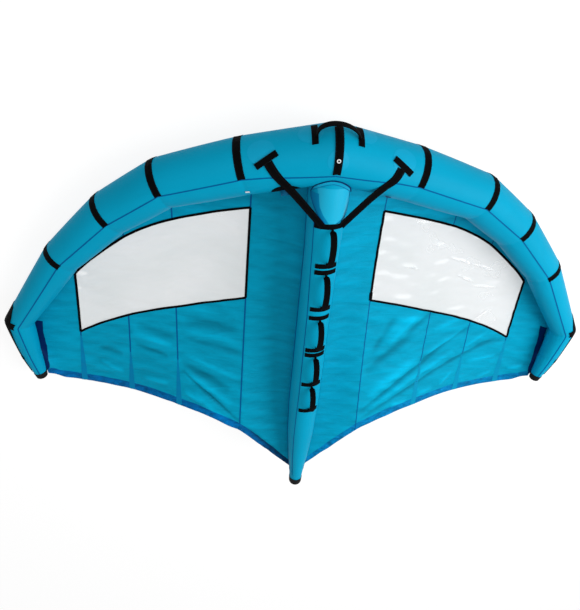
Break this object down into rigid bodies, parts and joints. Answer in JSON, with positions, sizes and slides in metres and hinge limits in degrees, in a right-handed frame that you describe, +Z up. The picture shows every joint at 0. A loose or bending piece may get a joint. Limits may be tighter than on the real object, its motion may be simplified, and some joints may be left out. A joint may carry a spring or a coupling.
{
  "type": "inflatable wing",
  "caption": "Inflatable hand-held wing: bent leading edge tube, centre strut with webbing grips, cambered cloth canopy with clear windows, lying strut side up.",
  "frame": {"origin": "middle of the bounding box, at the floor that the wing lies on", "axes": "+X across the span, +Y towards the leading edge, +Z up; the wing lies upside down, with its strut and grips up"},
  "size_m": [3.2522, 2.2762, 0.4454],
  "materials": {
    "canopy_cloth": "fine ripstop, slightly glossy",
    "canopy_cloth_light": "fine ripstop, slightly glossy",
    "hem_cloth": "woven, matt",
    "tube_cloth": "heavy woven polyester, satin",
    "binding_tape": "woven tape, matt",
    "window_film": "clear film, glossy",
    "bladder_film": "milky film",
    "eyelet_metal": "painted white",
    "valve_plastic": "satin moulded",
    "wear_patch": "coated woven, matt",
    "cap_rubber": "matt",
    "grip_webbing": "padded webbing, matt",
    "webbing": "woven webbing, matt"
  },
  "bodies": {
    "wing": {"canopy_front_l": "canopy_cloth_light", "canopy_front_r": "canopy_cloth_light", "canopy_inner_l": "canopy_cloth", "canopy_inner_r": "canopy_cloth", "canopy_rear_l": "canopy_cloth_light", "canopy_rear_r": "canopy_cloth_light", "canopy_tip_l": "canopy_cloth", "canopy_tip_r": "canopy_cloth", "centre_strap": "webbing", "front_bar_l": "webbing", "front_bar_r": "webbing", "le_bladder": "bladder_film", "le_sleeve_inner_l": "tube_cloth", "le_sleeve_inner_r": "tube_cloth", "le_sleeve_outer_l": "tube_cloth", "le_sleeve_outer_r": "tube_cloth", "leash_eyelet": "eyelet_metal", "seam_band_1_l": "wear_patch", "seam_band_1_r": "wear_patch", "seam_band_2_l": "wear_patch", "seam_band_2_r": "wear_patch", "seam_band_3_l": "wear_patch", "seam_band_3_r": "wear_patch", "seam_band_4_l": "wear_patch", "seam_band_4_r": "wear_patch", "strut_bar_1": "webbing", "strut_bar_2": "webbing", "strut_bar_3": "webbing", "strut_bar_4": "webbing", "strut_bar_5": "webbing", "strut_bar_6": "webbing", "strut_bar_7": "webbing", "strut_bar_8": "webbing", "strut_bladder": "bladder_film", "strut_sleeve_front": "tube_cloth", "strut_sleeve_middle": "tube_cloth", "strut_sleeve_rear": "tube_cloth", "strut_tail_cap": "cap_rubber", "tip_cap_l": "cap_rubber", "tip_cap_r": "cap_rubber", "tip_guard_l": "wear_patch", "tip_guard_r": "wear_patch", "trailing_hem_l": "hem_cloth", "trailing_hem_r": "hem_cloth", "v_strap_base": "webbing", "v_strap_l": "webbing", "v_strap_r": "webbing", "valve_base": "valve_plastic", "valve_patch": "wear_patch", "window_binding_l": "binding_tape", "window_binding_r": "binding_tape", "window_l": "window_film", "window_r": "window_film"},
    "strut_grip_1": {"strut_grip_1": "grip_webbing"},
    "strut_grip_2": {"strut_grip_2": "grip_webbing"},
    "strut_grip_3": {"strut_grip_3": "grip_webbing"},
    "strut_grip_4": {"strut_grip_4": "grip_webbing"},
    "strut_grip_5": {"strut_grip_5": "grip_webbing"},
    "front_grip": {"front_grip": "grip_webbing"},
    "valve_cap": {"valve_cap": "valve_plastic"}
  },
  "joints": [
    {"name": "strut_grip_1_swing", "type": "hinge", "parent": "wing", "child": "strut_grip_1", "pos_m": [0.02267, 0.56054, 0.34829], "axis": [0.005, 1, 0.003], "range_deg": [-50, 60]},
    {"name": "strut_grip_2_swing", "type": "hinge", "parent": "wing", "child": "strut_grip_2", "pos_m": [0.02213, 0.31512, 0.35137], "axis": [0.0005, 0.9998, -0.0218], "range_deg": [-50, 60]},
    {"name": "strut_grip_3_swing", "type": "hinge", "parent": "wing", "child": "strut_grip_3", "pos_m": [0.02207, 0.05366, 0.35933], "axis": [-0.0002, 0.9989, -0.0472], "range_deg": [-50, 60]},
    {"name": "strut_grip_4_swing", "type": "hinge", "parent": "wing", "child": "strut_grip_4", "pos_m": [0.02217, -0.17999, 0.37223], "axis": [-0.0006, 0.9982, -0.06], "range_deg": [-50, 60]},
    {"name": "strut_grip_5_swing", "type": "hinge", "parent": "wing", "child": "strut_grip_5", "pos_m": [0.02218, -0.37472, 0.38353], "axis": [0.0006, 0.9985, -0.0554], "range_deg": [-50, 60]},
    {"name": "front_grip_swing", "type": "hinge", "parent": "wing", "child": "front_grip", "pos_m": [0, 1.06823, 0.32541], "axis": [1, 0, 0], "range_deg": [-15, 55]},
    {"name": "valve_cap_hinge", "type": "hinge", "parent": "wing", "child": "valve_cap", "pos_m": [-0.22027, 0.79876, 0.28417], "axis": [0.2749, -0.4144, -0.8676], "range_deg": [0, 88]}
  ]
}
